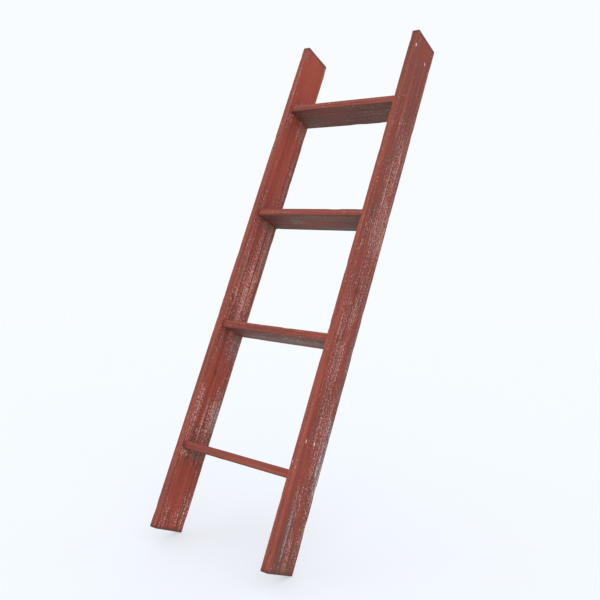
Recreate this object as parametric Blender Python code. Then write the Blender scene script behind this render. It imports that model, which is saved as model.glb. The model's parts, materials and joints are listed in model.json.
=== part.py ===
"""A leaning blanket ladder of painted boards, for hanging quilts over its rungs.

Two board rails carry four board rungs. Each rung is butted between the rails,
and two finish nails at each end go through the rail into the rung's end grain.
Metres, +Z up. The ladder's front faces -Y, it leans back towards +Y, and the
origin is on the floor under the middle of its box.
"""
import math

import bmesh
import bpy
from mathutils import Matrix, Vector

# Rails: boards set on edge, so their width runs from front to back
RAIL_LENGTH = 1.270
RAIL_WIDTH = 0.089
RAIL_THICKNESS = 0.019

# Rungs: boards that lie across, flush with the rails' back edges
RUNG_COUNT = 4
RUNG_THICKNESS = 0.018
CLEAR_WIDTH = 0.308          # between the rails' inner faces
RUNG_SET_BACK = 0.006        # rung's front face behind the rails' front edges
FOOT_TO_FIRST_RUNG = 0.195   # along the rail, to the bottom rung's middle
LAST_RUNG_TO_TOP = 0.184     # along the rail, from the top rung's middle

# How it stands: square-cut feet, leaning back from upright
LEAN = math.radians(26.9)

# Edges that run with the grain are worn round
ARRIS = 0.0012
ARRIS_SEGMENTS = 3

# Finish nails, two in each rung end
NAIL_LENGTH = 0.0635
NAIL_RADIUS = 0.00125
NAIL_HEAD_RADIUS = 0.0018
NAIL_HEAD_LENGTH = 0.0022
NAIL_NECK_LENGTH = 0.0010    # cone between head and shank
NAIL_POINT_LENGTH = 0.0050
NAIL_POINT_RADIUS = 0.0002
NAIL_DIMPLE_RADIUS = 0.0009  # cup in the head that the nail set sits in
NAIL_DIMPLE_DEPTH = 0.0004
NAIL_SET = 0.0010            # head below the rail's outer face
NAIL_INSET = 0.010           # nail's axis in from the rung's front or back face
NAIL_SIDES = 16

# Clearances
JOINT_GAP = 0.0003           # rung end to rail
NAIL_GAP = 0.0003            # nail to the wood round it
BORE_OVERRUN = 0.0010        # a bore's tool stands clear of the rail's outer face

# Worked out from the sizes above
RUNG_DEPTH = RAIL_WIDTH - RUNG_SET_BACK
RUNG_LENGTH = CLEAR_WIDTH - 2 * JOINT_GAP
OUTER_FACE = CLEAR_WIDTH / 2 + RAIL_THICKNESS
RUNG_SPAN = RAIL_LENGTH - FOOT_TO_FIRST_RUNG - LAST_RUNG_TO_TOP
RUNG_PITCH = RUNG_SPAN / (RUNG_COUNT - 1)
RUNG_UPS = [FOOT_TO_FIRST_RUNG + i * RUNG_PITCH for i in range(RUNG_COUNT)]
NAIL_DEPTHS = {"front": RUNG_SET_BACK + NAIL_INSET, "back": RAIL_WIDTH - NAIL_INSET}
SIDES = {"left": -1, "right": 1}

# Paint and steel: linear colour, roughness, metallic
FINISHES = {
    "rail_paint": ((0.270, 0.085, 0.068), 0.78, 0.0),
    "rung_paint": ((0.290, 0.083, 0.066), 0.74, 0.0),
    "nail_steel": ((0.420, 0.400, 0.380), 0.45, 1.0),
}


def clear_scene():
    """Remove whatever the file holds."""
    for thing in list(bpy.data.objects):
        bpy.data.objects.remove(thing, do_unlink=True)


def make_materials():
    """One Principled material for each finish."""
    materials = {}
    for name, (colour, roughness, metallic) in FINISHES.items():
        material = bpy.data.materials.new(name)
        material.use_nodes = True
        shader = material.node_tree.nodes["Principled BSDF"]
        shader.inputs["Base Color"].default_value = (*colour, 1.0)
        shader.inputs["Roughness"].default_value = roughness
        shader.inputs["Metallic"].default_value = metallic
        materials[name] = material
    return materials


def make_lean():
    """The empty that every piece hangs from.

    Its own axes are the ladder's: X across, Y from the front edges to the back,
    Z up the rails. It turns them back by LEAN, stands the rails' back lower
    corners on the floor and centres the box from front to back.
    """
    lean = bpy.data.objects.new("lean", None)
    bpy.context.collection.objects.link(lean)
    footprint = RAIL_LENGTH * math.sin(LEAN) + RAIL_WIDTH * math.cos(LEAN)
    lean.location = (0.0, -footprint / 2, RAIL_WIDTH * math.sin(LEAN))
    lean.rotation_euler = (-LEAN, 0.0, 0.0)
    return lean


def add_piece(name, mesh, material, parent, location=(0.0, 0.0, 0.0)):
    """A named object under the empty, at a place on the ladder's own axes."""
    piece = bpy.data.objects.new(name, mesh)
    bpy.context.collection.objects.link(piece)
    piece.parent = parent
    piece.location = location
    mesh.materials.append(material)
    return piece


def board_mesh(name, size, grain_axis):
    """A board with its long edges worn round and its ends left square."""
    bm = bmesh.new()
    bmesh.ops.create_cube(bm, size=1.0, matrix=Matrix.Diagonal((*size, 1.0)))
    with_grain = [
        edge for edge in bm.edges
        if abs((edge.verts[0].co - edge.verts[1].co).normalized()[grain_axis]) > 0.99
    ]
    bmesh.ops.bevel(bm, geom=with_grain, offset=ARRIS, segments=ARRIS_SEGMENTS,
                    profile=0.5, affect="EDGES")
    mesh = bpy.data.meshes.new(name)
    bm.to_mesh(mesh)
    bm.free()
    return mesh


def turned(bm, profile, start, direction):
    """Add a closed turned solid: profile is (radius, distance along direction)."""
    turn = Vector((0.0, 0.0, 1.0)).rotation_difference(direction).to_matrix().to_4x4()
    place = Matrix.Translation(start) @ turn
    rings = []
    for radius, along in profile:
        ring = bmesh.ops.create_circle(
            bm, segments=NAIL_SIDES, radius=radius,
            matrix=place @ Matrix.Translation((0.0, 0.0, along)))
        rings.append(ring["verts"])
    for lower, upper in zip(rings, rings[1:]):
        for i in range(NAIL_SIDES):
            j = (i + 1) % NAIL_SIDES
            bm.faces.new((lower[i], lower[j], upper[j], upper[i]))
    bm.faces.new(reversed(rings[0]))
    bm.faces.new(rings[-1])


def nail_profile():
    """Head with its cup, neck, shank and point, from the head's rim inwards."""
    neck = NAIL_HEAD_LENGTH + NAIL_NECK_LENGTH
    return [
        (NAIL_DIMPLE_RADIUS / 2, NAIL_DIMPLE_DEPTH),
        (NAIL_DIMPLE_RADIUS, 0.0),
        (NAIL_HEAD_RADIUS, 0.0),
        (NAIL_HEAD_RADIUS, NAIL_HEAD_LENGTH),
        (NAIL_RADIUS, neck),
        (NAIL_RADIUS, NAIL_LENGTH - NAIL_POINT_LENGTH),
        (NAIL_POINT_RADIUS, NAIL_LENGTH),
    ]


def bore_profile():
    """The hole that a nail sits in, measured from the rail's outer face."""
    neck = NAIL_SET + NAIL_HEAD_LENGTH
    return [
        (NAIL_HEAD_RADIUS + NAIL_GAP, -BORE_OVERRUN),
        (NAIL_HEAD_RADIUS + NAIL_GAP, neck),
        (NAIL_RADIUS + NAIL_GAP, neck + NAIL_NECK_LENGTH),
        (NAIL_RADIUS + NAIL_GAP, NAIL_SET + NAIL_LENGTH + NAIL_GAP),
    ]


def make_bores(side, parent):
    """One guide object with the nail holes of one rail and of the rung ends in it."""
    bm = bmesh.new()
    inwards = Vector((-SIDES[side], 0.0, 0.0))
    for up in RUNG_UPS:
        for depth in NAIL_DEPTHS.values():
            start = Vector((SIDES[side] * OUTER_FACE, depth, up))
            turned(bm, bore_profile(), start, inwards)
    mesh = bpy.data.meshes.new(f"bores_{side}")
    bm.to_mesh(mesh)
    bm.free()
    guide = bpy.data.objects.new(f"bores_{side}", mesh)
    bpy.context.collection.objects.link(guide)
    guide.parent = parent
    guide.hide_render = True
    guide.display_type = "WIRE"
    return guide


def bore(piece, guide):
    """Cut the nail holes into a board."""
    cut = piece.modifiers.new("nail_holes", "BOOLEAN")
    cut.operation = "DIFFERENCE"
    cut.solver = "EXACT"
    cut.object = guide


def make_rail(side, parent, bores, materials):
    """A board on edge, with two nail holes through it at each rung."""
    mesh = board_mesh(f"{side}_rail", (RAIL_THICKNESS, RAIL_WIDTH, RAIL_LENGTH), 2)
    across = SIDES[side] * (CLEAR_WIDTH + RAIL_THICKNESS) / 2
    rail = add_piece(f"{side}_rail", mesh, materials["rail_paint"], parent,
                     (across, RAIL_WIDTH / 2, RAIL_LENGTH / 2))
    bore(rail, bores[side])
    return rail


def make_rung(number, up, parent, bores, materials):
    """A board across, with two nail holes in each end."""
    mesh = board_mesh(f"rung_{number}", (RUNG_LENGTH, RUNG_DEPTH, RUNG_THICKNESS), 0)
    rung = add_piece(f"rung_{number}", mesh, materials["rung_paint"], parent,
                     (0.0, RUNG_SET_BACK + RUNG_DEPTH / 2, up))
    for guide in bores.values():
        bore(rung, guide)
    return rung


def make_nail(name, side, depth, up, parent, materials):
    """A finish nail, its head set just below the rail's outer face."""
    bm = bmesh.new()
    turned(bm, nail_profile(), Vector((0.0, 0.0, 0.0)), Vector((-SIDES[side], 0.0, 0.0)))
    mesh = bpy.data.meshes.new(name)
    bm.to_mesh(mesh)
    bm.free()
    mesh.shade_smooth()
    mesh.set_sharp_from_angle(angle=math.radians(35))
    head = SIDES[side] * (OUTER_FACE - NAIL_SET)
    return add_piece(name, mesh, materials["nail_steel"], parent, (head, depth, up))


def main():
    clear_scene()
    materials = make_materials()
    parent = make_lean()
    bores = {side: make_bores(side, parent) for side in SIDES}
    for side in SIDES:
        make_rail(side, parent, bores, materials)
    for number, up in enumerate(RUNG_UPS, 1):
        make_rung(number, up, parent, bores, materials)
        for side in SIDES:
            for place, depth in NAIL_DEPTHS.items():
                name = f"nail_{side}_{number}_{place}"
                make_nail(name, side, depth, up, parent, materials)


main()
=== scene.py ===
"""A board ladder for quilts, in worn barn-red paint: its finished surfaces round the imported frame.

Every board is modelled on its own axes first: X through its thickness, Y from its front edge
to its back edge, Z along the grain. It is then turned and moved to where the frame holds it.
"""

import json
import math
from collections import namedtuple

import bmesh
import bpy
import numpy as np
from bpy.props import FloatProperty, FloatVectorProperty, PointerProperty
from mathutils import Matrix, Vector, noise


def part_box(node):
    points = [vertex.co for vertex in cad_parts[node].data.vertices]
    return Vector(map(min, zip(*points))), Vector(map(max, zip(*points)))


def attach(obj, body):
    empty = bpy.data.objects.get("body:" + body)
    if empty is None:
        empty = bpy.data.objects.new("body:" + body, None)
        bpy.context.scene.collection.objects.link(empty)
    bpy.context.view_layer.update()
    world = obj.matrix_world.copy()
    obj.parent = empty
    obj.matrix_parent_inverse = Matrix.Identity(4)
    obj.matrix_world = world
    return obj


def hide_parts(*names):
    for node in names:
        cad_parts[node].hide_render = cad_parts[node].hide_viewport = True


bl_info = {
    "name": "Worn Board Ladder",
    "version": (1, 0, 0),
    "blender": (4, 5, 0),
    "location": "View3D > Sidebar > Ladder",
    "description": "Models the worn boards, nail heads and stage of a leaning blanket ladder",
    "category": "Object",
}

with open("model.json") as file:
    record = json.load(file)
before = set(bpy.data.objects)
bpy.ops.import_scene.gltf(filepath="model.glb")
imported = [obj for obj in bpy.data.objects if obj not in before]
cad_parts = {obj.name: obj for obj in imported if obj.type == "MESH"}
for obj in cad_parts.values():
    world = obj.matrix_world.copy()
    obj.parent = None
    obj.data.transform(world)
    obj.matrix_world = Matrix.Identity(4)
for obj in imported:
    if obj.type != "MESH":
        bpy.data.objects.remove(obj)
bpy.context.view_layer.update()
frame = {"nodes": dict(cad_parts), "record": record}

# ---------------------------------------------------------------------------
# What the frame says

RAILS = ("left_rail", "right_rail")
RUNGS = ("rung_1", "rung_2", "rung_3", "rung_4")
NAILS = sorted(node for node in frame["nodes"] if node.startswith("nail_"))


def lean_of(record):
    """How far the rails lean back from upright, as the top face of a rung shows."""
    up = next(mount["axis"] for mount in record["mounts"] if mount["name"] == "rung_1_top")
    return math.atan2(up[1], up[2])


# From the ladder's axes (across, front to back, up the rails) to the world's
LADDER = Matrix.Rotation(-lean_of(frame["record"]), 4, "X")
# From a rung's own axes to the ladder's: its grain runs across, its +X face is its underside
RUNG_TURN = Matrix.Rotation(math.pi / 2, 4, "Y")


def seat_of(node):
    """(size on the board's own axes, matrix that puts the board in its place)."""
    turn = RUNG_TURN if node in RUNGS else Matrix.Identity(4)
    own = (LADDER @ turn).inverted()
    points = np.array([own @ vertex.co for vertex in frame["nodes"][node].data.vertices])
    low, high = points.min(0), points.max(0)
    middle = Matrix.Translation(Vector((low + high) / 2))
    return Vector(high - low), LADDER @ turn @ middle


# ---------------------------------------------------------------------------
# How each board grew and wore, with the painted light and shade that some of its numbers hold.
# Places are in metres: along from the foot or the left end, across from the front edge. A face
# is +x, -x or front on the board's own axes. A ding in the front edge is placed across from the
# middle of the thickness instead. The pith is the heart of the board's log: from the middle of
# the thickness, and from the front edge.

Knot = namedtuple("Knot", "along across radius")
Patch = namedtuple("Patch", "kind face along across half_length half_width strength")
Split = namedtuple("Split", "end across length")
Ding = namedtuple("Ding", "face along across radius")
# tone scales a whole board's brightness and front_tone that of its front edge; a front_tone above 1
# is painted light on a front edge that faces the soft light.
Board = namedtuple("Board", "seed tone front_tone sound pith ring_width knots patches splits dings")

BOARDS = {
    "right_rail": Board(
        seed=11, tone=1.02, front_tone=1.08, sound=0.0, pith=(0.035, -0.085), ring_width=0.0034,
        knots=[Knot(0.612, 0.036, 0.0060), Knot(0.955, 0.066, 0.0050)],
        patches=[
            Patch("silver", "+x", 0.080, 0.028, 0.090, 0.005, 0.95),
            Patch("silver", "+x", 0.010, 0.045, 0.016, 0.045, 0.4),
            Patch("silver", "+x", 0.245, 0.080, 0.100, 0.012, 1.0),
            Patch("silver", "+x", 0.500, 0.082, 0.190, 0.009, 0.6),
            Patch("silver", "+x", 0.775, 0.062, 0.065, 0.028, 0.35),
            Patch("silver", "+x", 0.950, 0.083, 0.280, 0.006, 0.4),
            Patch("brown", "+x", 0.070, 0.024, 0.100, 0.016, 1.0),
            Patch("brown", "+x", 0.085, 0.074, 0.140, 0.022, 0.8),
            Patch("brown", "+x", 0.440, 0.079, 0.120, 0.014, 0.6),
            Patch("brown", "+x", 0.830, 0.024, 0.050, 0.020, 0.5),
            Patch("brown", "+x", 0.960, 0.028, 0.050, 0.016, 0.5),
            Patch("brown", "+x", 1.160, 0.045, 0.130, 0.060, 0.55),
            # A dark strip along the back arris: painted shade of the edge that faces away from the
            # light, as well as dirt.
            Patch("brown", "+x", 0.635, 0.0885, 0.640, 0.003, 0.8),
            Patch("dusty", "+x", 0.090, 0.045, 0.090, 0.040, 0.55),
            Patch("dusty", "+x", 0.110, 0.076, 0.110, 0.018, 1.0),
            Patch("dusty", "+x", 0.465, 0.011, 0.130, 0.006, 1.0),
            Patch("dusty", "+x", 0.510, 0.058, 0.110, 0.006, 1.0),
            Patch("dusty", "+x", 0.410, 0.052, 0.240, 0.038, 0.35),
            Patch("dusty", "+x", 0.760, 0.060, 0.080, 0.032, 0.6),
            Patch("dusty", "+x", 0.740, 0.012, 0.050, 0.010, 0.7),
            Patch("dusty", "+x", 0.835, 0.030, 0.045, 0.022, 0.6),
            Patch("dusty", "+x", 0.900, 0.050, 0.120, 0.018, 0.5),
            Patch("fresh", "+x", 0.300, 0.006, 0.320, 0.014, 0.8),
            Patch("fresh", "+x", 0.115, 0.058, 0.060, 0.012, 0.7),
            Patch("fresh", "+x", 0.215, 0.028, 0.050, 0.020, 0.8),
            Patch("fresh", "+x", 0.613, 0.036, 0.014, 0.015, 0.9),
            Patch("fresh", "+x", 0.700, 0.020, 0.060, 0.012, 0.6),
            Patch("fresh", "+x", 0.854, 0.066, 0.009, 0.006, 1.0),
            Patch("fresh", "+x", 1.060, 0.014, 0.160, 0.010, 0.6),
            Patch("fresh", "+x", 1.170, 0.040, 0.110, 0.060, 0.45),
            Patch("fresh", "+x", 1.245, 0.052, 0.024, 0.024, 1.0),
            Patch("silver", "-x", 0.350, 0.070, 0.250, 0.020, 0.8),
            Patch("brown", "-x", 0.600, 0.020, 0.200, 0.014, 0.7),
            Patch("fresh", "-x", 0.900, 0.035, 0.200, 0.035, 0.6),
        ],
        splits=[Split("foot", 0.026, 0.060), Split("top", 0.061, 0.038)],
        dings=[
            Ding("+x", 0.2663, 0.0060, 0.0017), Ding("+x", 0.2662, 0.0378, 0.0020),
            Ding("+x", 1.2310, 0.0040, 0.0017), Ding("+x", 1.2140, 0.0605, 0.0015),
            Ding("front", 0.222, -0.0050, 0.0008), Ding("-x", 0.700, 0.030, 0.0013),
        ],
    ),
    "left_rail": Board(
        # The left rail's tone of 1.28 is painted light: it lifts the whole rail, so that its inner
        # face comes out of the shade that the right rail and the rungs cast on it.
        seed=23, tone=1.28, front_tone=1.04, sound=0.10, pith=(-0.040, 0.160), ring_width=0.0031,
        knots=[Knot(0.376, 0.033, 0.0042), Knot(0.560, 0.010, 0.0045)],
        patches=[
            Patch("fresh", "+x", 0.112, 0.038, 0.058, 0.040, 1.0),
            Patch("dusty", "+x", 0.050, 0.066, 0.050, 0.020, 0.65),
            Patch("straw", "+x", 0.177, 0.017, 0.010, 0.012, 0.9),
            Patch("straw", "+x", 0.206, 0.010, 0.006, 0.006, 0.7),
            # The green-grey spots just under each rung, toward the back of this inner face (0.177,
            # 0.472, 0.770 and 1.067 along), are painted shade under the rung as well as a stain.
            Patch("moss_and_shade", "+x", 0.177, 0.062, 0.009, 0.024, 1.0),
            Patch("dusty", "+x", 0.270, 0.040, 0.080, 0.044, 0.70),
            Patch("silver", "+x", 0.270, 0.077, 0.075, 0.014, 0.75),
            Patch("fresh", "+x", 0.385, 0.030, 0.050, 0.026, 0.9),
            Patch("silver", "+x", 0.455, 0.074, 0.045, 0.016, 0.65),
            Patch("moss_and_shade", "+x", 0.472, 0.064, 0.008, 0.020, 0.6),
            Patch("moss_and_shade", "+x", 0.645, 0.012, 0.040, 0.010, 0.4),
            Patch("moss_and_shade", "+x", 0.770, 0.062, 0.012, 0.026, 1.0),
            Patch("moss_and_shade", "+x", 1.067, 0.066, 0.007, 0.018, 0.6),
            Patch("dusty", "+x", 0.570, 0.050, 0.080, 0.036, 0.65),
            Patch("straw", "+x", 0.556, 0.008, 0.006, 0.005, 0.6),
            Patch("silver", "+x", 0.700, 0.074, 0.080, 0.020, 0.5),
            Patch("fresh", "+x", 0.940, 0.032, 0.140, 0.034, 1.0),
            Patch("brown", "+x", 1.026, 0.016, 0.036, 0.012, 0.6),
            Patch("silver", "+x", 0.930, 0.080, 0.100, 0.010, 0.4),
            Patch("silver", "+x", 1.050, 0.066, 0.025, 0.018, 0.5),
            Patch("fresh", "+x", 1.185, 0.044, 0.090, 0.080, 1.0),
            Patch("brown", "+x", 1.215, 0.050, 0.030, 0.022, 0.6),
            Patch("brown", "+x", 1.245, 0.045, 0.014, 0.030, 0.5),
            Patch("brown", "+x", 0.640, 0.082, 0.500, 0.010, 0.3),
            Patch("silver", "-x", 0.200, 0.050, 0.180, 0.025, 0.8),
            Patch("brown", "-x", 1.000, 0.030, 0.180, 0.020, 0.7),
            Patch("dusty", "-x", 0.700, 0.040, 0.300, 0.045, 0.6),
        ],
        splits=[Split("foot", 0.070, 0.045), Split("top", 0.030, 0.030)],
        dings=[
            Ding("-x", 0.440, 0.028, 0.0014), Ding("-x", 0.441, 0.061, 0.0014),
        ],
    ),
    "rung_1": Board(
        seed=37, tone=0.97, front_tone=1.0, sound=0.0, pith=(-0.060, 0.020), ring_width=0.0036,
        knots=[Knot(0.092, 0.030, 0.0060)],
        patches=[Patch("fresh", "front", 0.150, 0.0, 0.150, 0.004, 0.4),
                 Patch("dusty", "-x", 0.160, 0.050, 0.090, 0.030, 0.8)],
        splits=[Split("right", 0.050, 0.030)],
        dings=[Ding("-x", 0.210, 0.022, 0.0013)],
    ),
    "rung_2": Board(
        seed=41, tone=0.97, front_tone=1.08, sound=0.0, pith=(0.050, 0.050), ring_width=0.0033,
        knots=[Knot(0.229, 0.034, 0.0075)],
        patches=[Patch("silver", "+x", 0.160, 0.055, 0.160, 0.022, 0.55),
                 Patch("straw", "+x", 0.215, 0.036, 0.060, 0.020, 0.5),
                 Patch("fresh", "+x", 0.070, 0.018, 0.070, 0.014, 0.6),
                 Patch("silver", "-x", 0.120, 0.030, 0.100, 0.030, 0.5)],
        splits=[],
        dings=[Ding("-x", 0.060, 0.060, 0.0013)],
    ),
    "rung_3": Board(
        seed=53, tone=0.97, front_tone=1.00, sound=0.0, pith=(-0.045, 0.110), ring_width=0.0030,
        knots=[Knot(0.180, 0.058, 0.0070)],
        patches=[Patch("silver", "+x", 0.095, 0.040, 0.030, 0.014, 0.6),
                 Patch("fresh", "+x", 0.165, 0.048, 0.080, 0.022, 0.9),
                 Patch("moss_and_shade", "+x", 0.190, 0.018, 0.120, 0.012, 0.7),
                 Patch("moss_and_shade", "+x", 0.215, 0.072, 0.080, 0.014, 0.8),
                 Patch("brown", "+x", 0.285, 0.050, 0.020, 0.040, 0.9),
                 Patch("straw", "+x", 0.288, 0.052, 0.010, 0.012, 0.6),
                 Patch("dusty", "-x", 0.150, 0.045, 0.150, 0.040, 0.6)],
        splits=[Split("left", 0.040, 0.028)],
        dings=[],
    ),
    "rung_4": Board(
        seed=67, tone=0.97, front_tone=1.04, sound=0.0, pith=(0.070, 0.035), ring_width=0.0035,
        knots=[],
        patches=[Patch("moss_and_shade", "+x", 0.030, 0.060, 0.040, 0.040, 0.6),
                 Patch("fresh", "+x", 0.110, 0.020, 0.070, 0.025, 0.5),
                 Patch("moss_and_shade", "+x", 0.260, 0.050, 0.050, 0.030, 0.4),
                 Patch("silver", "-x", 0.090, 0.060, 0.080, 0.018, 0.7),
                 Patch("dusty", "-x", 0.200, 0.030, 0.100, 0.025, 0.6)],
        splits=[],
        dings=[Ding("-x", 0.250, 0.055, 0.0014)],
    ),
}

PATCH_KINDS = ("fresh", "dusty", "silver", "brown", "straw", "moss_and_shade")


# ---------------------------------------------------------------------------
# Settings


def length(name, description, default):
    """A size in metres."""
    return FloatProperty(name=name, description=description, default=default,
                         subtype="DISTANCE", unit="LENGTH", precision=5)


def share(name, description, default):
    """A part of the whole, 0 to 1."""
    return FloatProperty(name=name, description=description, default=default,
                         subtype="FACTOR", min=0.0, max=1.0)


def colour(name, description, default):
    """A linear red, green and blue."""
    return FloatVectorProperty(name=name, description=description, default=default,
                               subtype="COLOR", size=3, min=0.0, max=1.0)


class BoardSurface(bpy.types.PropertyGroup):
    """How finely a board is cut up, and how rough time has made it."""

    arris: length("Arris", "Radius that wear has given the long edges", 0.0012)
    end_arris: length("End arris", "Wear on the sawn ends' edges", 0.0005)
    across_step: length("Step across", "Width of a face across the grain", 0.0009)
    along_step: length("Step along", "Length of a face along the grain", 0.0050)
    ring_relief: length("Ring relief", "How far the hard late wood stands proud", 0.00022)
    fibre_relief: length("Fibre relief", "Height of the raised fibres", 0.00014)
    sway: length("Sway", "How far a face wanders from true", 0.00025)
    chip: length("Chip", "Deepest bite out of a long edge", 0.0008)
    knot_relief: length("Knot relief", "How far a knot stands proud", 0.00055)
    joint_calm: length("Joint calm", "Reach of the smooth seat round each joint", 0.012)
    split_depth: length("Split depth", "How deep a crack goes into a face", 0.0042)
    split_gap: length("Split gap", "Half the width of a crack's mouth", 0.00042)
    nail_clearance: length("Nail clearance", "Air between a nail and its hole", 0.0003)
    shank_radius: length("Shank radius", "Radius of a nail under its head", 0.0013)


class PaintColours(bpy.types.PropertyGroup):
    """The paint and what shows where it has gone."""

    fresh: colour("Fresh red", "Sound paint", (0.300, 0.043, 0.022))
    edge: colour("Edge red", "Paint on the narrow front edges", (0.315, 0.070, 0.046))
    dull: colour("Dull red", "Paint gone chalky", (0.248, 0.046, 0.031))
    pink: colour("Pink red", "Paint bleached by the sun", (0.268, 0.058, 0.049))
    brown: colour("Brown red", "Paint stained brown", (0.155, 0.056, 0.034))
    dust: colour("Dust", "Fibres standing bare through the paint", (0.640, 0.360, 0.285))
    silver: colour("Silver", "Weathered bare wood", (0.205, 0.118, 0.100))
    frost: colour("Frost", "Palest tips of the weathered fibres", (0.540, 0.350, 0.305))
    shade: colour("Shade", "Paint and dirt down in the grain", (0.070, 0.018, 0.012))
    knot: colour("Knot", "Dark wood of a knot under thin paint", (0.070, 0.018, 0.012))
    ash: colour("Ash", "Palest tips of bare weathered wood", (0.500, 0.430, 0.440))
    filler: colour("Filler", "Chalky rim of an old nail hole", (0.850, 0.800, 0.740))
    straw: colour("Straw", "Freshly bared wood", (0.600, 0.430, 0.220))
    # Where its spots lie just under the rungs, this green-grey is painted shade as well as a stain.
    moss: colour("Moss", "Green-grey stain", (0.150, 0.105, 0.065))
    # On the rungs' undersides this umber is painted shade as well as a thin stain.
    umber: colour("Umber", "Thin dark stain on the rungs' undersides", (0.112, 0.040, 0.030))
    wear: share("Wear", "How much of the paint has gone", 0.50)


class NailFinish(bpy.types.PropertyGroup):
    """The nails' metal, and how far down the boards' paint covers it."""

    steel: colour("Steel", "Bright metal", (0.460, 0.440, 0.420))
    tarnish: colour("Tarnish", "Metal gone brown", (0.200, 0.130, 0.090))
    paint_full: length("Full paint", "Depth under the rail's face down to which all is painted",
                       0.0030)
    paint_end: length("End of paint", "Depth under the rail's face where paint ends", 0.0042)


class Studio(bpy.types.PropertyGroup):
    """The stage, the light and the camera."""

    floor_radius: length("Floor radius", "Size of the pale floor", 9.0)
    floor_fade: length("Floor fade", "Where the floor begins to melt into the light", 1.2)
    floor_reach: length("Floor reach", "Where the floor has melted away", 5.4)
    floor_dark: colour("Floor dark", "Darker tone of the floor", (0.920, 0.940, 0.980))
    floor_light: colour("Floor light", "Lighter tone of the floor", (0.935, 0.955, 0.995))
    floor_glow: share("Floor glow", "How much of the floor's light is its own", 0.55)
    glow_colour: colour("Glow colour", "The floor's own light", (0.905, 0.945, 1.0))
    sky_colour: colour("Sky colour", "The even light from all round", (0.940, 0.973, 1.0))
    key_place: FloatVectorProperty(name="Key place", description="Where the soft light hangs",
                                   default=(1.5, -2.5, 2.4), subtype="TRANSLATION")
    key_power: FloatProperty(name="Key power", description="Strength of the soft light",
                             default=12.0, unit="POWER")
    key_size: length("Key size", "Side of the soft light", 3.0)
    camera_target: FloatVectorProperty(name="Camera target", description="Point looked at",
                                       default=(0.0034, 0.0, 0.5344), subtype="TRANSLATION")
    camera_distance: length("Camera distance", "From the target to the lens", 1.70)
    camera_azimuth: FloatProperty(name="Azimuth", description="Angle round from the front",
                                  default=math.radians(37.47), subtype="ANGLE")
    camera_height: FloatProperty(name="Elevation", description="Angle above the horizon",
                                 default=math.radians(7.615), subtype="ANGLE")
    lens: FloatProperty(name="Lens", description="Focal length in millimetres", default=42.97)


# ---------------------------------------------------------------------------
# Small tools

TOUCH = 1e-6  # points nearer to a plane than this lie on it


def select_only(obj):
    """Leave one object selected and active."""
    bpy.ops.object.select_all(action="DESELECT")
    obj.select_set(True)
    bpy.context.view_layer.objects.active = obj


def select_edges(wanted):
    """Select the edges of the mesh in edit mode that a test passes."""
    mesh = bmesh.from_edit_mesh(bpy.context.object.data)
    for edge in mesh.edges:
        edge.select_set(False)
    for edge in mesh.edges:
        if wanted(edge):
            edge.select_set(True)
    mesh.select_flush_mode()
    bmesh.update_edit_mesh(bpy.context.object.data)


def runs_along(edge, axis):
    """Whether an edge is parallel to an axis, which is 0 to 2."""
    run = edge.verts[1].co - edge.verts[0].co
    return abs(run[axis]) > 0.999 * run.length


def smoothstep(low, high, value):
    """0 at low and 1 at high, smooth between; low may be the larger of the two."""
    part = np.clip((value - low) / (high - low), 0.0, 1.0)
    return part * part * (3.0 - 2.0 * part)


def field(points, stretch, seed):
    """Smooth noise from -1 to 1 at each point; stretch is waves per metre on each axis."""
    scaled = points * np.array(stretch) + seed * np.array((7.31, 3.17, 5.77))
    return np.array([noise.noise(Vector(point)) for point in scaled])


def points_of(obj):
    """The vertices of an object's mesh as an array."""
    flat = np.empty(len(obj.data.vertices) * 3, np.float32)
    obj.data.vertices.foreach_get("co", flat)
    return flat.reshape(-1, 3).astype(float)


# ---------------------------------------------------------------------------
# Boards

MOST_CUTS = 40  # an edge that needs more pieces than this is cut up in two passes


def lengths_along(axis):
    """The lengths of the edges that run along an axis, in the mesh in edit mode."""
    mesh = bmesh.from_edit_mesh(bpy.context.object.data)
    return [edge.calc_length() for edge in mesh.edges if runs_along(edge, axis)]


def cut_up(axis, longest):
    """Cut the longest edges along an axis into equal pieces, none longer than this."""
    pieces = math.ceil(max(lengths_along(axis)) / longest)
    passes = [pieces] if pieces <= MOST_CUTS else [math.ceil(math.sqrt(pieces))] * 2
    for cuts in passes:
        longest_now = max(lengths_along(axis))
        select_edges(lambda edge: runs_along(edge, axis)
                     and edge.calc_length() > 0.9 * longest_now)
        bpy.ops.mesh.subdivide(number_cuts=cuts - 1)


def line_arrises(size, margin):
    """Cut a line on each face beside each long edge of the board in edit mode."""
    for axis in (0, 1):
        for side in (-1, 1):
            place = Vector((0.0, 0.0, 0.0))
            place[axis] = side * (size[axis] / 2 - margin)
            normal = Vector((0.0, 0.0, 0.0))
            normal[axis] = 1.0
            bpy.ops.mesh.select_all(action="SELECT")
            bpy.ops.mesh.bisect(plane_co=place, plane_no=normal)


def round_edges(size, surface):
    """Round the long edges and the edges of the sawn ends of the board in edit mode."""
    half = size / 2
    select_edges(lambda edge: runs_along(edge, 2) and all(
        abs(abs(edge.verts[0].co[axis]) - half[axis]) < TOUCH for axis in (0, 1)))
    bpy.ops.mesh.bevel(offset=surface.arris, segments=3, affect="EDGES")
    select_edges(lambda edge: sum(
        all(abs(vertex.co[2]) > half[2] - TOUCH for vertex in face.verts)
        for face in edge.link_faces) == 1)
    bpy.ops.mesh.bevel(offset=surface.end_arris, segments=2, affect="EDGES")


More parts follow.
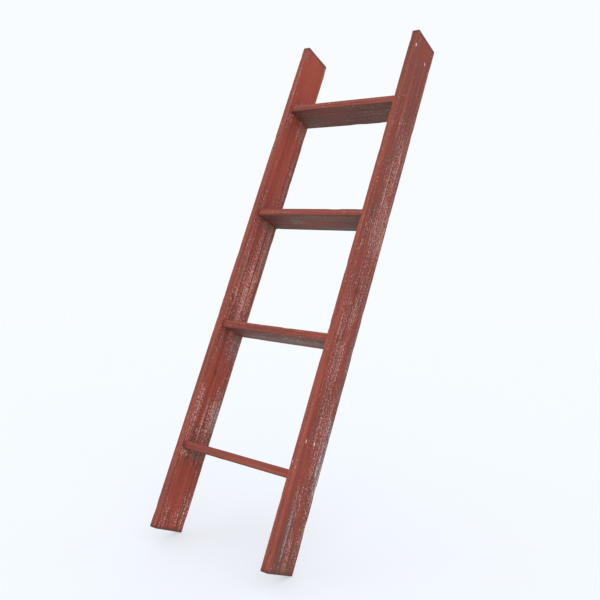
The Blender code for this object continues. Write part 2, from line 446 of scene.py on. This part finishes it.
def make_blank(name, size, surface):
    """A square-cut board at its size, finely cut up, with worn long edges."""
    bpy.ops.object.select_all(action="DESELECT")
    bpy.ops.mesh.primitive_cube_add(size=1.0)
    board = bpy.context.object
    board.name = name
    board.data.name = name
    board.scale = size
    bpy.ops.object.transform_apply(location=False, rotation=False, scale=True)
    bpy.ops.object.mode_set(mode="EDIT")
    bpy.ops.mesh.select_mode(type="EDGE")
    line_arrises(size, surface.arris * 1.1)
    cut_up(0, surface.across_step)
    cut_up(1, surface.across_step)
    cut_up(2, surface.along_step)
    round_edges(size, surface)
    bpy.ops.object.mode_set(mode="OBJECT")
    return board


def copy_of(blank, name):
    """Another board from the same saw, with a mesh of its own."""
    select_only(blank)
    bpy.ops.object.duplicate(linked=False)
    board = bpy.context.object
    board.name = name
    board.data.name = name
    return board


class Grain:
    """The growth of one board: what each point of it is made of."""

    def __init__(self, name, size):
        self.name = name
        self.board = BOARDS[name]
        self.size = size

    def knot_pull(self, points):
        """(points as the grain saw them before knots pushed it aside, knot share, knot rings)."""
        seen = points.copy()
        share_of_knot = np.zeros(len(points))
        knot_rings = np.zeros(len(points))
        wobble = 0.12 * field(points, (180, 180, 180), self.board.seed)
        for knot in self.board.knots:
            across = points[:, 1] - (knot.across - self.size[1] / 2)
            along = points[:, 2] - (knot.along - self.size[2] / 2)
            reach = np.hypot(across, along * 0.75) / knot.radius
            seen[:, 1] -= across * 0.85 * np.exp(-(reach / 2.2) ** 2)
            inside = smoothstep(1.12, 0.88, reach + wobble)
            share_of_knot = np.maximum(share_of_knot, inside)
            knot_rings = np.where(inside > 0, reach * knot.radius / 0.0011, knot_rings)
        return seen, share_of_knot, knot_rings

    def rings(self, seen):
        """Ring count from the pith at each point, a smooth number."""
        seed = self.board.seed
        drift = field(seen, (0.0, 0.0, 2.6), seed + 1) * 0.006
        waver = field(seen, (9.0, 9.0, 6.0), seed + 2) * 0.0022
        pith = self.board.pith
        away = np.hypot(seen[:, 0] - pith[0] - drift * 0.5,
                        seen[:, 1] + self.size[1] / 2 - pith[1] - drift)
        return (away + waver) / self.board.ring_width

    def late_wood(self, rings):
        """1 on the hard dark line that ends each ring, falling to 0."""
        part = rings - np.floor(rings)
        return np.exp(-((part - 0.78) / 0.17) ** 2)

    def face_share(self, points, face):
        """1 on a face, fading out round its arrises."""
        half = self.size / 2
        if face == "front":
            return smoothstep(0.0015, 0.0005, half[1] + points[:, 1])
        side = 1 if face == "+x" else -1
        return smoothstep(0.55, 0.95, side * points[:, 0] / half[0])

    def patches(self, points):
        """How strongly each kind of patch shows at each point."""
        ragged = 0.5 * field(points, (90, 90, 26), self.board.seed + 5)
        ragged += 0.25 * field(points, (260, 260, 60), self.board.seed + 6)
        strengths = {kind: np.zeros(len(points)) for kind in PATCH_KINDS}
        for patch in self.board.patches:
            along = (points[:, 2] + self.size[2] / 2 - patch.along) / patch.half_length
            across = (points[:, 1] + self.size[1] / 2 - patch.across) / patch.half_width
            reach = np.hypot(along, across) + ragged
            here = patch.strength * smoothstep(1.25, 0.55, reach)
            here *= self.face_share(points, patch.face)
            strengths[patch.kind] = np.maximum(strengths[patch.kind], here)
        return strengths


def calm_of(points, grain, surface):
    """1 where a board is free, falling to 0 at its joints, so that the joints stay closed."""
    if grain.name in RUNGS:
        from_end = grain.size[2] / 2 - np.abs(points[:, 2])
        return smoothstep(0.0, surface.joint_calm, from_end)
    inner = 1.0 if grain.name == "left_rail" else -1.0
    calm = np.ones(len(points))
    _, seat = seat_of(grain.name)
    for rung in RUNGS:
        size, place = seat_of(rung)
        middle = seat.inverted() @ place.translation
        from_rung = np.abs(points[:, 2] - middle[2]) - size[0] / 2
        calm = np.minimum(calm, smoothstep(0.0, surface.joint_calm, from_rung))
    outside = smoothstep(0.2, -0.2, inner * points[:, 0] / grain.size[0] * 2)
    return np.maximum(calm, outside)


def push(board, name, weights, strength):
    """Move the surface along its normals by strength where weights are 1, and apply it."""
    group = board.vertex_groups.new(name=name)
    for index, weight in enumerate(weights):
        group.add((index,), float(weight), "REPLACE")
    swell = board.modifiers.new(name, "DISPLACE")
    swell.vertex_group = name
    swell.mid_level = 0.0
    swell.strength = strength
    select_only(board)
    bpy.ops.object.modifier_apply(modifier=swell.name)
    board.vertex_groups.remove(board.vertex_groups[name])


def roughen(board, grain, surface):
    """Raise the grain, let the faces wander, swell the knots and bite into the long edges."""
    points = points_of(board)
    seed = grain.board.seed
    calm = calm_of(points, grain, surface)
    seen, knot, _ = grain.knot_pull(points)
    side = smoothstep(0.0, 0.004, grain.size[2] / 2 - np.abs(points[:, 2]))
    ridge = grain.late_wood(grain.rings(seen)) * (1 - knot)
    fibre = 0.5 + 0.5 * field(seen, (300, 300, 9), seed + 7)
    sway = 0.5 + 0.5 * field(points, (14, 14, 3.2), seed + 8)
    half = grain.size / 2
    from_arris = np.hypot(np.abs(points[:, 0]) - half[0], np.abs(points[:, 1]) - half[1])
    bite = smoothstep(0.12, 0.55, field(points, (60, 60, 28), seed + 9))
    bite *= smoothstep(0.0040, 0.0012, from_arris)
    push(board, "late_wood", ridge * calm * side, surface.ring_relief)
    push(board, "fibre", fibre * calm * side, surface.fibre_relief)
    push(board, "sway", sway * calm * side, -surface.sway)
    push(board, "knots", knot * calm * side, surface.knot_relief)
    push(board, "chips", bite * calm, -surface.chip)


def take_cutter(board, cutter, name):
    """Cut a tool's shape out of a board, then put the tool away."""
    cut = board.modifiers.new(name, "BOOLEAN")
    cut.operation = "DIFFERENCE"
    cut.solver = "EXACT"
    cut.object = cutter
    select_only(board)
    bpy.ops.object.modifier_apply(modifier=cut.name)
    bpy.data.objects.remove(cutter, do_unlink=True)


def join(objects, name):
    """Several tools as one object."""
    bpy.ops.object.select_all(action="DESELECT")
    for obj in objects:
        obj.select_set(True)
    bpy.context.view_layer.objects.active = objects[0]
    if len(objects) > 1:
        bpy.ops.object.join()
    objects[0].name = name
    return objects[0]


def split_tools(grain, surface):
    """Thin wedges that open a crack from a sawn end, along the grain of the +x face."""
    tools = []
    outside = 0.0005
    for split in grain.board.splits:
        upwards = 1 if split.end in ("foot", "left") else -1
        bpy.ops.object.select_all(action="DESELECT")
        bpy.ops.mesh.primitive_cone_add(vertices=4, radius1=1.0, radius2=0.0, depth=1.0)
        wedge = bpy.context.object
        wedge.scale = (surface.split_depth, surface.split_gap, split.length * upwards)
        wedge.location = (grain.size[0] / 2, split.across - grain.size[1] / 2,
                          upwards * (split.length / 2 - grain.size[2] / 2 - outside))
        bpy.ops.object.transform_apply()
        bpy.ops.object.mode_set(mode="EDIT")
        bpy.ops.mesh.select_all(action="SELECT")
        bpy.ops.mesh.normals_make_consistent(inside=False)
        bpy.ops.object.mode_set(mode="OBJECT")
        tools.append(wedge)
    return tools


def pit_place(ding, half, sunk=0.0):
    """(middle of a pit, this deep under its face, and the turn that points a tool outwards)."""
    along = ding.along - half[2]
    if ding.face == "front":
        return (ding.across, sunk - half[1], along), (math.pi / 2, 0.0, 0.0)
    side = 1 if ding.face == "+x" else -1
    middle = (side * (half[0] - sunk), ding.across - half[1], along)
    return middle, (0.0, side * math.pi / 2, 0.0)


def ding_tools(grain):
    """Small cones that pit a face, as pulled nails leave it."""
    tip, cone, sunk = 0.0004, 0.0040, 0.0010
    tools = []
    for ding in grain.board.dings:
        bpy.ops.object.select_all(action="DESELECT")
        bpy.ops.mesh.primitive_cone_add(vertices=14, radius1=tip, radius2=ding.radius, depth=cone)
        pit = bpy.context.object
        pit.location, pit.rotation_euler = pit_place(ding, grain.size / 2, sunk)
        bpy.ops.object.transform_apply()
        tools.append(pit)
    return tools


def nail_tools(node, surface):
    """A stepped bit for each nail that enters this board, in the nail's own place."""
    if node in RUNGS:
        wanted = [nail for nail in NAILS if f"_{node[-1]}_" in nail]
    else:
        wanted = [nail for nail in NAILS if nail.startswith("nail_" + node.split("_")[0])]
    return [nail_tool(nail, surface) for nail in wanted]


def turned_tool(profile):
    """A round solid on Z that passes through (radius, height) steps, from the top down."""
    (radius, height), *steps = profile
    lid = 0.001
    bpy.ops.object.select_all(action="DESELECT")
    bpy.ops.mesh.primitive_cylinder_add(vertices=20, radius=radius, depth=lid,
                                        location=(0.0, 0.0, height + lid / 2))
    tool = bpy.context.object
    bpy.ops.object.transform_apply()
    bpy.ops.object.mode_set(mode="EDIT")
    bpy.ops.mesh.select_mode(type="FACE")
    mesh = bmesh.from_edit_mesh(tool.data)
    for face in mesh.faces:
        face.select_set(face.normal.z < -0.9)
    bmesh.update_edit_mesh(tool.data)
    for next_radius, next_height in steps:
        bpy.ops.mesh.extrude_region_move(
            TRANSFORM_OT_translate={"value": (0.0, 0.0, next_height - height)})
        ratio = next_radius / radius
        bpy.ops.transform.resize(value=(ratio, ratio, 1.0))
        radius, height = next_radius, next_height
    bpy.ops.object.mode_set(mode="OBJECT")
    return tool


def nail_tool(nail, surface):
    """Drill for one nail: a wide mouth for its head, then a hole for its shank."""
    low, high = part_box(nail)
    side = 1 if high.x > 0 else -1
    head_top = max(abs(low.x), abs(high.x))
    middle = (low + high) / 2
    head = (high.z - low.z) / 2
    clearance = surface.nail_clearance
    shank = surface.shank_radius + clearance
    tool = turned_tool([
        (head + 0.0011, 0.0040), (head + 0.0008, 0.0010), (head + clearance, 0.0003),
        (head + clearance, -0.0025), (shank, -0.0036), (shank, low.x - high.x - clearance)])
    tool.location = (side * head_top, middle.y, middle.z)
    tool.rotation_euler = (0.0, side * math.pi / 2, 0.0)
    bpy.ops.object.transform_apply()
    return tool


def pit_share(points, grain):
    """1 in and close round an old nail's pit, 0 elsewhere."""
    shares = np.zeros(len(points))
    for ding in grain.board.dings:
        middle, _ = pit_place(ding, grain.size / 2)
        reach = np.linalg.norm(points - np.array(middle), axis=1) / ding.radius
        shares = np.maximum(shares, smoothstep(1.7, 0.9, reach))
    return shares


def wear_values(points, grain):
    """What has happened to a board at each point, by the names that the paint reads."""
    half = grain.size / 2
    front = grain.face_share(points, "front")
    from_back = np.maximum(half[0] - np.abs(points[:, 0]), half[1] - points[:, 1])
    ragged = 0.0012 * field(points, (160, 160, 0), grain.board.seed + 12)
    from_end = half[2] - np.abs(points[:, 2]) + ragged
    values = grain.patches(points)
    values["fresh"] = np.maximum(values["fresh"], grain.board.sound)
    # tone carries painted light: the left rail's lift out of its shade and the front edges'
    # front_tone.
    values["tone"] = grain.board.tone * (1 - front) + grain.board.front_tone * front
    values["front"] = front
    # under marks the rungs' undersides, which the paint darkens with painted shade as well as a thin
    # stain.
    values["under"] = grain.face_share(points, "+x") * (grain.name in RUNGS)
    # back_arris darkens the back arrises: dirt on the worn edges and painted shade of the side
    # facing away from the light.
    values["back_arris"] = smoothstep(0.0028, 0.0012, from_back)
    values["ends"] = smoothstep(0.0085, 0.0020, from_end) * (grain.name in RAILS)
    values["pit"] = pit_share(points, grain)
    return values


def record_grain(board, grain, place):
    """Write on every vertex what the paint reads: the grain's run, its rings and each wear."""
    own = np.array(place.inverted())
    points = points_of(board) @ own[:3, :3].T + own[:3, 3]
    seen, knot, knot_rings = grain.knot_pull(points)
    values = wear_values(points, grain)
    values["knot"] = knot
    values["rings"] = np.where(knot > 0.5, knot_rings, grain.rings(seen))
    for name, value in values.items():
        attribute = board.data.attributes.new(name, "FLOAT", "POINT")
        attribute.data.foreach_set("value", value.astype(np.float32))
    # each board reads the noises at a place of its own
    seen += grain.board.seed * np.array((0.137, 0.291, 0.411))
    run = board.data.attributes.new("grain", "FLOAT_VECTOR", "POINT")
    run.data.foreach_set("vector", seen.astype(np.float32).ravel())


def make_boards(nodes, material):
    """Boards of one size, sawn alike and each worn in its own way."""
    size, _ = seat_of(nodes[0])
    blank = make_blank("blank", size, bpy.context.scene.board_surface)
    for node in nodes:
        wear_board(copy_of(blank, node + "_board"), node, material)
    bpy.data.objects.remove(blank, do_unlink=True)


def wear_board(board, node, material):
    """Wear one board, put it in its place and let it stand for its plain solid."""
    surface = bpy.context.scene.board_surface
    size, place = seat_of(node)
    grain = Grain(node, size)
    roughen(board, grain, surface)
    tools = split_tools(grain, surface) + ding_tools(grain)
    if tools:
        take_cutter(board, join(tools, "wear_tools"), "wear")
    board.matrix_world = place
    select_only(board)
    bpy.ops.object.transform_apply()
    take_cutter(board, join(nail_tools(node, surface), "drills"), "nail_holes")
    record_grain(board, grain, place)
    board.data.materials.clear()
    board.data.materials.append(material)
    select_only(board)
    bpy.ops.object.shade_smooth_by_angle(angle=math.radians(40))
    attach(board, "root")
    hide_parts(node)


# ---------------------------------------------------------------------------
# Materials


class Shader:
    """A material's node tree and the tools that build it."""

    def __init__(self, name):
        self.material = bpy.data.materials.new(name)
        self.material.use_nodes = True
        self.nodes = self.material.node_tree.nodes
        self.links = self.material.node_tree.links
        self.surface = self.nodes["Principled BSDF"]

    def put(self, socket, value):
        """Link a socket to another, or set its value."""
        if isinstance(value, bpy.types.NodeSocket):
            self.links.new(value, socket)
        elif isinstance(value, (float, int)):
            socket.default_value = value
        else:
            value = tuple(value)
            plain = len(value) == 3 and len(socket.default_value) == 4
            socket.default_value = (*value, 1.0) if plain else value

    def attribute(self, name, output="Fac"):
        """A value written on the vertices."""
        node = self.nodes.new("ShaderNodeAttribute")
        node.attribute_name = name
        return node.outputs[output]

    def math(self, operation, *values):
        """One step of arithmetic on sockets or numbers."""
        node = self.nodes.new("ShaderNodeMath")
        node.operation = operation
        for socket, value in zip(node.inputs, values):
            self.put(socket, value)
        return node.outputs[0]

    def times(self, first, second):
        """One value times another."""
        return self.math("MULTIPLY", first, second)

    def total(self, *parts, base=0.0, clamp=False):
        """A base plus each value times its weight, held between 0 and 1 if asked."""
        result = base
        for value, weight in parts:
            result = self.math("MULTIPLY_ADD", value, weight, result)
        result.node.use_clamp = clamp
        return result

    def step(self, value, low, high):
        """0 below low and 1 above high, smooth between."""
        node = self.nodes.new("ShaderNodeMapRange")
        node.interpolation_type = "SMOOTHSTEP"
        self.put(node.inputs["Value"], value)
        self.put(node.inputs["From Min"], low)
        self.put(node.inputs["From Max"], high)
        return node.outputs["Result"]

    def mix(self, share_of_second, first, second):
        """A colour between two others."""
        node = self.nodes.new("ShaderNodeMix")
        node.data_type = "RGBA"
        self.put(node.inputs[0], share_of_second)
        self.put(node.inputs[6], first)
        self.put(node.inputs[7], second)
        return node.outputs[2]

    def brighten(self, plain, value):
        """A colour made brighter or darker by a factor."""
        node = self.nodes.new("ShaderNodeHueSaturation")
        self.put(node.inputs["Value"], value)
        self.put(node.inputs["Color"], plain)
        return node.outputs["Color"]

    def noise(self, vector, waves, detail=2.0, roughness=0.55):
        """Noise with so many waves per metre on each axis."""
        mapping = self.nodes.new("ShaderNodeMapping")
        self.put(mapping.inputs["Vector"], vector)
        self.put(mapping.inputs["Scale"], waves)
        node = self.nodes.new("ShaderNodeTexNoise")
        self.put(node.inputs["Vector"], mapping.outputs["Vector"])
        self.put(node.inputs["Scale"], 1.0)
        self.put(node.inputs["Detail"], detail)
        self.put(node.inputs["Roughness"], roughness)
        return node.outputs["Fac"]

    def bump(self, height, distance, strength):
        """A surface normal tilted by a height."""
        node = self.nodes.new("ShaderNodeBump")
        self.put(node.inputs["Height"], height)
        self.put(node.inputs["Distance"], distance)
        self.put(node.inputs["Strength"], strength)
        return node.outputs["Normal"]

    def finish(self, **inputs):
        """Set the surface's inputs, their spaces written as underscores; gives the material."""
        for name, value in inputs.items():
            self.put(self.surface.inputs[name.replace("_", " ")], value)
        return self.material


class Wear:
    """The patterns along a board's grain that every layer of its finish reads."""

    def __init__(self, s, worn):
        run = s.attribute("grain", "Vector")
        cloud = s.noise(run, (20, 20, 5.5), 3.0)
        self.band = s.noise(run, (52, 52, 1.8), 3.0, 0.6)
        self.line = s.noise(run, (240, 240, 3.5), 1.0)
        self.fibre = s.noise(run, (1100, 1100, 26), 4.0, 0.70)
        self.crack = s.step(s.noise(run, (560, 560, 7), 2.0), 0.36, 0.29)
        fleck = s.noise(run, (430, 430, 170), 2.0, 0.75)
        saw_mark = s.noise(run, (120, 120, 330), 1.0, 0.6)
        self.grit = s.total((fleck, 0.70), (saw_mark, 0.30))
        ring = s.math("FRACT", s.attribute("rings"))
        self.late = s.times(s.step(ring, 0.45, 0.80), s.step(ring, 1.0, 0.86))
        self.under, self.front = s.attribute("under"), s.attribute("front")
        self.silver, self.brown = s.attribute("silver"), s.attribute("brown")
        self.sound = s.total((s.attribute("fresh"), 1.0), (s.step(cloud, 0.57, 0.70), 1.0),
                             clamp=True)
        # hollow is low where dirt gathers, proud is high where fibres stand through the paint
        self.hollow = s.total((self.fibre, 0.30), (self.line, 0.28), (self.grit, 0.42))
        ring_weight, usual_late = 0.035, 0.35
        self.proud = s.total(
            (self.grit, 0.58), (self.line, 0.15), (self.fibre, 0.27), (self.late, ring_weight),
            (s.attribute("dusty"), 0.055), (self.silver, 0.03), (self.sound, -0.070),
            (self.front, -0.034), (self.under, -0.034), (self.brown, -0.045),
            base=(worn - 0.5) * 0.2 - usual_late * ring_weight)


def coat_colour(s, wear, paint):
    """The paint itself: sound, dull, bleached or stained, darker down in the grain, and darker on
    the rungs' undersides with painted shade as well as a thin stain.
    """
    coat = s.mix(s.step(wear.band, 0.48, 0.62), paint.dull, paint.pink)
    stained = s.total((wear.brown, 0.7), (s.step(wear.band, 0.46, 0.30), 0.7), clamp=True)
    coat = s.mix(stained, coat, paint.brown)
    coat = s.mix(s.times(wear.sound, 0.85), coat, paint.fresh)
    coat = s.mix(s.times(wear.front, 0.80), coat, paint.edge)
    # The rungs' undersides take umber: painted shade of the downward faces as well as a thin dark
    # stain.
    underside_shade_and_stain = s.times(wear.under, s.total((wear.sound, -0.45), base=0.85))
    coat = s.mix(underside_shade_and_stain, coat, paint.umber)
    coat = s.mix(s.times(s.attribute("knot"), 0.55), coat, paint.knot)
    dirty = s.total((wear.sound, -0.45), (wear.brown, -0.35), (wear.front, -0.35),
                    base=0.95, clamp=True)
    coat = s.mix(s.times(s.step(wear.hollow, 0.50, 0.40), dirty), coat, paint.shade)
    return s.mix(s.times(wear.late, 0.30), coat, paint.brown)


def bare_colour(s, wear, paint):
    """Weathered wood with no paint left, its tips paler and its hollows dark."""
    tips = s.times(s.step(wear.proud, 0.510, 0.590), s.step(wear.silver, 0.35, 1.0))
    grey = s.mix(tips, paint.silver, paint.ash)
    return s.mix(s.times(s.step(wear.hollow, 0.49, 0.40), 0.8), grey, paint.shade)


def add_marks(s, wear, paint, finish):
    """Lay straw spots, green-grey spots, cracks and darkened back arrises over a colour; the spots
    under the rungs and the back arrises are painted shade as well as stain and dirt.
    """
    marks = (
        (s.times(s.attribute("straw"), s.step(wear.grit, 0.47, 0.60)), 0.90, paint.straw),
        # green-grey spots: a stain, and painted shade where they lie under the rungs
        (s.times(s.attribute("moss_and_shade"), s.step(wear.grit, 0.36, 0.56)), 0.90, paint.moss),
        (wear.crack, 0.65, paint.shade),
        # back arrises: dirt on the worn edges and painted shade of the side facing away from the
        # light
        (s.times(s.attribute("back_arris"), s.step(wear.grit, 0.35, 0.52)), 0.75, paint.shade),
    )
    for where, most, mark in marks:
        finish = s.mix(s.times(where, most), finish, mark)
    return finish


def worn_paint(name, paint):
    """Old red paint over weathered board, read from each board's own grain and wear."""
    s = Shader(name)
    wear = Wear(s, paint.wear)
    chalky = s.step(wear.proud, 0.535, 0.590)
    fibres = s.mix(s.step(wear.band, 0.50, 0.66), paint.dust, paint.frost)
    finish = s.mix(s.times(chalky, 0.85), coat_colour(s, wear, paint), fibres)
    bare = s.step(s.total((wear.silver, 1.0), (wear.grit, 2.0), base=-1.0), 0.20, 0.90)
    finish = s.mix(s.times(bare, 0.85), finish, bare_colour(s, wear, paint))
    finish = add_marks(s, wear, paint, finish)
    # streak varies the brightness along the grain; tone then brightens each board by its tone and
    # front_tone, which hold painted light on the left rail and the front edges.
    streak = s.total((wear.line, 0.80), base=0.60)
    finish = s.brighten(finish, s.times(streak, s.attribute("tone")))
    end_ring = s.times(wear.late, s.step(wear.grit, 0.35, 0.50))
    end_wood = s.mix(end_ring, paint.umber, paint.shade)
    finish = s.mix(s.times(s.attribute("ends"), 0.90), finish, end_wood)
    finish = s.mix(s.attribute("pit"), finish, paint.filler)
    height = s.total((wear.fibre, 0.35), (wear.grit, 0.40), (wear.late, 0.15),
                     (wear.line, 0.20), (chalky, -0.15), (wear.crack, -0.40))
    rough = s.total((chalky, 0.20), (wear.line, 0.25), base=0.495, clamp=True)
    return s.finish(Base_Color=finish, Roughness=rough, Specular_IOR_Level=0.25,
                    Normal=s.bump(height, 0.0007, 0.8))


def painted_nail(name, paint, metal):
    """Bright steel, with the boards' paint and a bloom of rust over the head."""
    s = Shader(name)
    where = s.nodes.new("ShaderNodeTexCoord").outputs["Object"]
    apart = s.nodes.new("ShaderNodeSeparateXYZ")
    s.put(apart.inputs[0], where)
    _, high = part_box("right_rail")
    from_middle = s.math("ABSOLUTE", apart.outputs["X"])
    painted = s.step(from_middle, high.x - metal.paint_end, high.x - metal.paint_full)
    blotch = s.noise(where, (600, 600, 600), 3.0)
    rust = s.times(s.step(blotch, 0.52, 0.66), 0.7)
    head = s.mix(rust, paint.dull, paint.knot)
    steel = s.mix(s.step(blotch, 0.60, 0.72), metal.steel, metal.tarnish)
    return s.finish(
        Base_Color=s.mix(painted, steel, head),
        Metallic=s.math("SUBTRACT", 1.0, painted),
        Roughness=s.total((painted, 0.35), base=0.35),
        Normal=s.bump(blotch, 0.0002, 0.5))


def pale_floor(name, studio):
    """A plain pale floor, lit a little from within, that melts into the light behind it."""
    s = Shader(name)
    where = s.nodes.new("ShaderNodeTexCoord").outputs["Object"]
    distance = s.nodes.new("ShaderNodeVectorMath")
    distance.operation = "LENGTH"
    s.put(distance.inputs[0], where)
    away = s.step(distance.outputs["Value"], studio.floor_fade, studio.floor_reach)
    grit = s.noise(where, (60, 60, 60), 2.0)
    lit = 1.0 - studio.floor_glow
    dark = [part * lit for part in studio.floor_dark]
    light = [part * lit for part in studio.floor_light]
    return s.finish(
        Base_Color=s.mix(grit, dark, light),
        Emission_Color=studio.glow_colour,
        Emission_Strength=studio.floor_glow,
        Roughness=0.9,
        Alpha=s.math("SUBTRACT", 1.0, away))


# ---------------------------------------------------------------------------
# Operators


class LADDER_OT_rails(bpy.types.Operator):
    """Model the two worn rails in place of the frame's plain ones"""

    bl_idname = "ladder.rails"
    bl_label = "Rails"

    def execute(self, context):
        material = worn_paint("rail_paint_worn", context.scene.rail_colours)
        make_boards(RAILS, material)
        return {"FINISHED"}


class LADDER_OT_rungs(bpy.types.Operator):
    """Model the four worn rungs in place of the frame's plain ones"""

    bl_idname = "ladder.rungs"
    bl_label = "Rungs"

    def execute(self, context):
        material = worn_paint("rung_paint_worn", context.scene.rung_colours)
        make_boards(RUNGS, material)
        return {"FINISHED"}


class LADDER_OT_nails(bpy.types.Operator):
    """Give the frame's nails their steel, rust and painted heads"""

    bl_idname = "ladder.nails"
    bl_label = "Nails"

    def execute(self, context):
        material = painted_nail("nail_painted_head", context.scene.rail_colours,
                                context.scene.nail_finish)
        for node in NAILS:
            nail = frame["nodes"][node]
            nail.data.materials.clear()
            nail.data.materials.append(material)
        return {"FINISHED"}


class LADDER_OT_stage(bpy.types.Operator):
    """Set the pale floor, the soft light and the camera"""

    bl_idname = "ladder.stage"
    bl_label = "Stage"

    def execute(self, context):
        studio = context.scene.studio
        set_floor(studio)
        set_light(studio)
        set_sky(studio)
        set_camera(studio)
        return {"FINISHED"}


def set_floor(studio):
    """A round floor that the feet stand on."""
    bpy.ops.object.select_all(action="DESELECT")
    bpy.ops.mesh.primitive_circle_add(vertices=96, radius=studio.floor_radius,
                                      fill_type="NGON")
    floor = bpy.context.object
    floor.name = "floor"
    floor.data.materials.append(pale_floor("floor_pale", studio))


def set_light(studio):
    """One large soft light, aimed at the camera's target."""
    bpy.ops.object.select_all(action="DESELECT")
    bpy.ops.object.light_add(type="AREA", location=studio.key_place)
    key = bpy.context.object
    key.name = "key_light"
    key.data.energy = studio.key_power
    key.data.size = studio.key_size
    aim = Vector(studio.camera_target) - key.location
    key.rotation_euler = aim.to_track_quat("-Z", "Y").to_euler()


def set_sky(studio):
    """Even pale light from all round."""
    world = bpy.data.worlds.new("studio_light")
    bpy.context.scene.world = world
    world.use_nodes = True
    light = world.node_tree.nodes["Background"]
    light.inputs["Color"].default_value = (*studio.sky_colour, 1.0)
    bpy.context.scene.view_settings.view_transform = "Standard"


def set_camera(studio):
    """The camera, turned round the target from the front and raised above the level."""
    azimuth, height = studio.camera_azimuth, studio.camera_height
    back = Vector((math.sin(azimuth) * math.cos(height),
                   -math.cos(azimuth) * math.cos(height), math.sin(height)))
    bpy.ops.object.select_all(action="DESELECT")
    bpy.ops.object.camera_add(
        location=Vector(studio.camera_target) + back * studio.camera_distance)
    camera = bpy.context.object
    camera.name = "camera"
    camera.rotation_euler = (-back).to_track_quat("-Z", "Y").to_euler()
    camera.data.lens = studio.lens
    camera.data.sensor_width = 36.0
    bpy.context.scene.camera = camera


class LADDER_PT_panel(bpy.types.Panel):
    """Buttons for each part of the ladder"""

    bl_idname = "LADDER_PT_panel"
    bl_label = "Worn Board Ladder"
    bl_space_type = "VIEW_3D"
    bl_region_type = "UI"
    bl_category = "Ladder"

    def draw(self, context):
        for operator in OPERATORS:
            self.layout.operator(operator.bl_idname)
        for setting in SETTINGS:
            group = getattr(context.scene, setting)
            box = self.layout.box()
            for name in group.__annotations__:
                box.prop(group, name)


OPERATORS = (LADDER_OT_rails, LADDER_OT_rungs, LADDER_OT_nails, LADDER_OT_stage)
SETTINGS = ("board_surface", "rail_colours", "rung_colours", "nail_finish", "studio")
CLASSES = (BoardSurface, PaintColours, NailFinish, Studio, *OPERATORS, LADDER_PT_panel)


def register():
    """Make the settings, operators and panel known."""
    for cls in CLASSES:
        bpy.utils.register_class(cls)
    bpy.types.Scene.board_surface = PointerProperty(type=BoardSurface)
    bpy.types.Scene.rail_colours = PointerProperty(type=PaintColours)
    bpy.types.Scene.rung_colours = PointerProperty(type=PaintColours)
    bpy.types.Scene.nail_finish = PointerProperty(type=NailFinish)
    bpy.types.Scene.studio = PointerProperty(type=Studio)


def unregister():
    """Take away what register added."""
    for setting in SETTINGS:
        delattr(bpy.types.Scene, setting)
    for cls in reversed(CLASSES):
        bpy.utils.unregister_class(cls)


def main():
    """Build every piece, then the stage."""
    register()
    bpy.ops.ladder.rails()
    bpy.ops.ladder.rungs()
    bpy.ops.ladder.nails()
    bpy.ops.ladder.stage()


if __name__ == "__main__":
    main()
